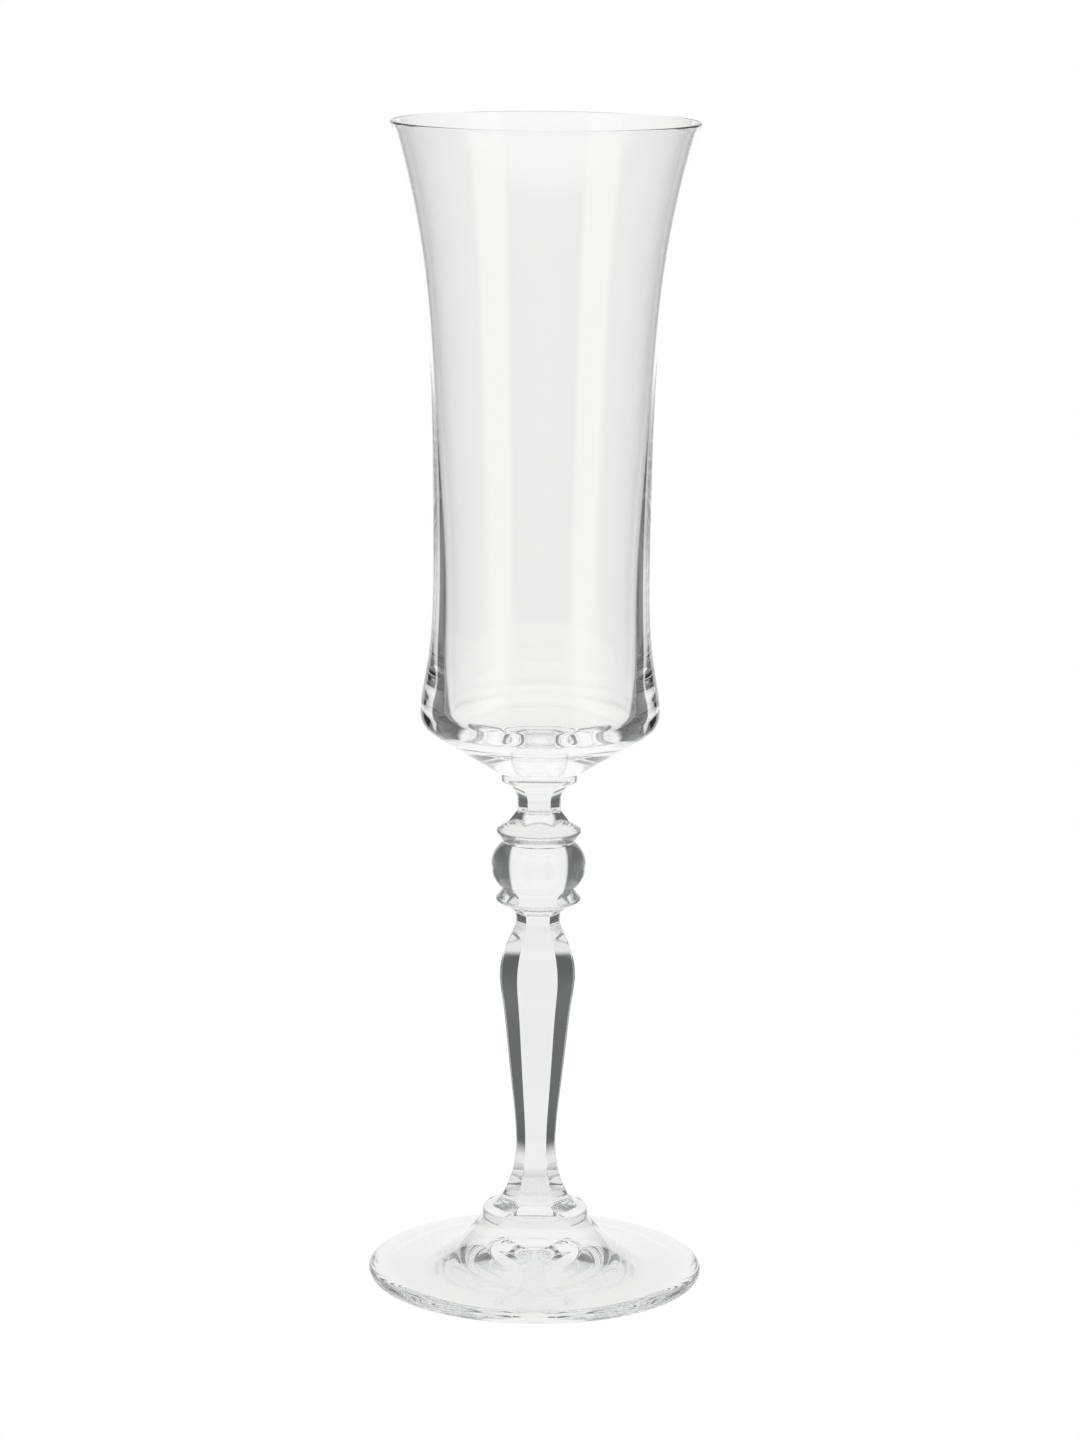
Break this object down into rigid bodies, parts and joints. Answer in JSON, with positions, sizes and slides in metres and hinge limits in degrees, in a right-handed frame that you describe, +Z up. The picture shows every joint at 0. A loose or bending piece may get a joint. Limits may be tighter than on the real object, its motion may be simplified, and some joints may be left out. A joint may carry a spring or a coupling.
{
  "type": "champagne flute",
  "caption": "Tall clear glass flute with a flared bowl, thick solid base, faceted stem with a ball between two collars, and a round foot.",
  "frame": {"origin": "centre of the ring that the foot stands on", "axes": "+Z up along the axis of the glass; a flat of the six-sided stem faces -Y"},
  "size_m": [0.0722, 0.0722, 0.25],
  "materials": {
    "bowl_glass": "clear blown glass, fire-polished rim",
    "stem_glass": "clear pressed glass, fire-polished",
    "foot_glass": "clear glass with a faint blue-green edge"
  },
  "bodies": {
    "root": {"bowl": "bowl_glass", "bowl_merese": "stem_glass", "upper_neck": "stem_glass", "upper_collar": "stem_glass", "ball_knop": "stem_glass", "lower_collar": "stem_glass", "baluster": "stem_glass", "foot_merese": "stem_glass", "foot": "foot_glass"}
  },
  "joints": []
}
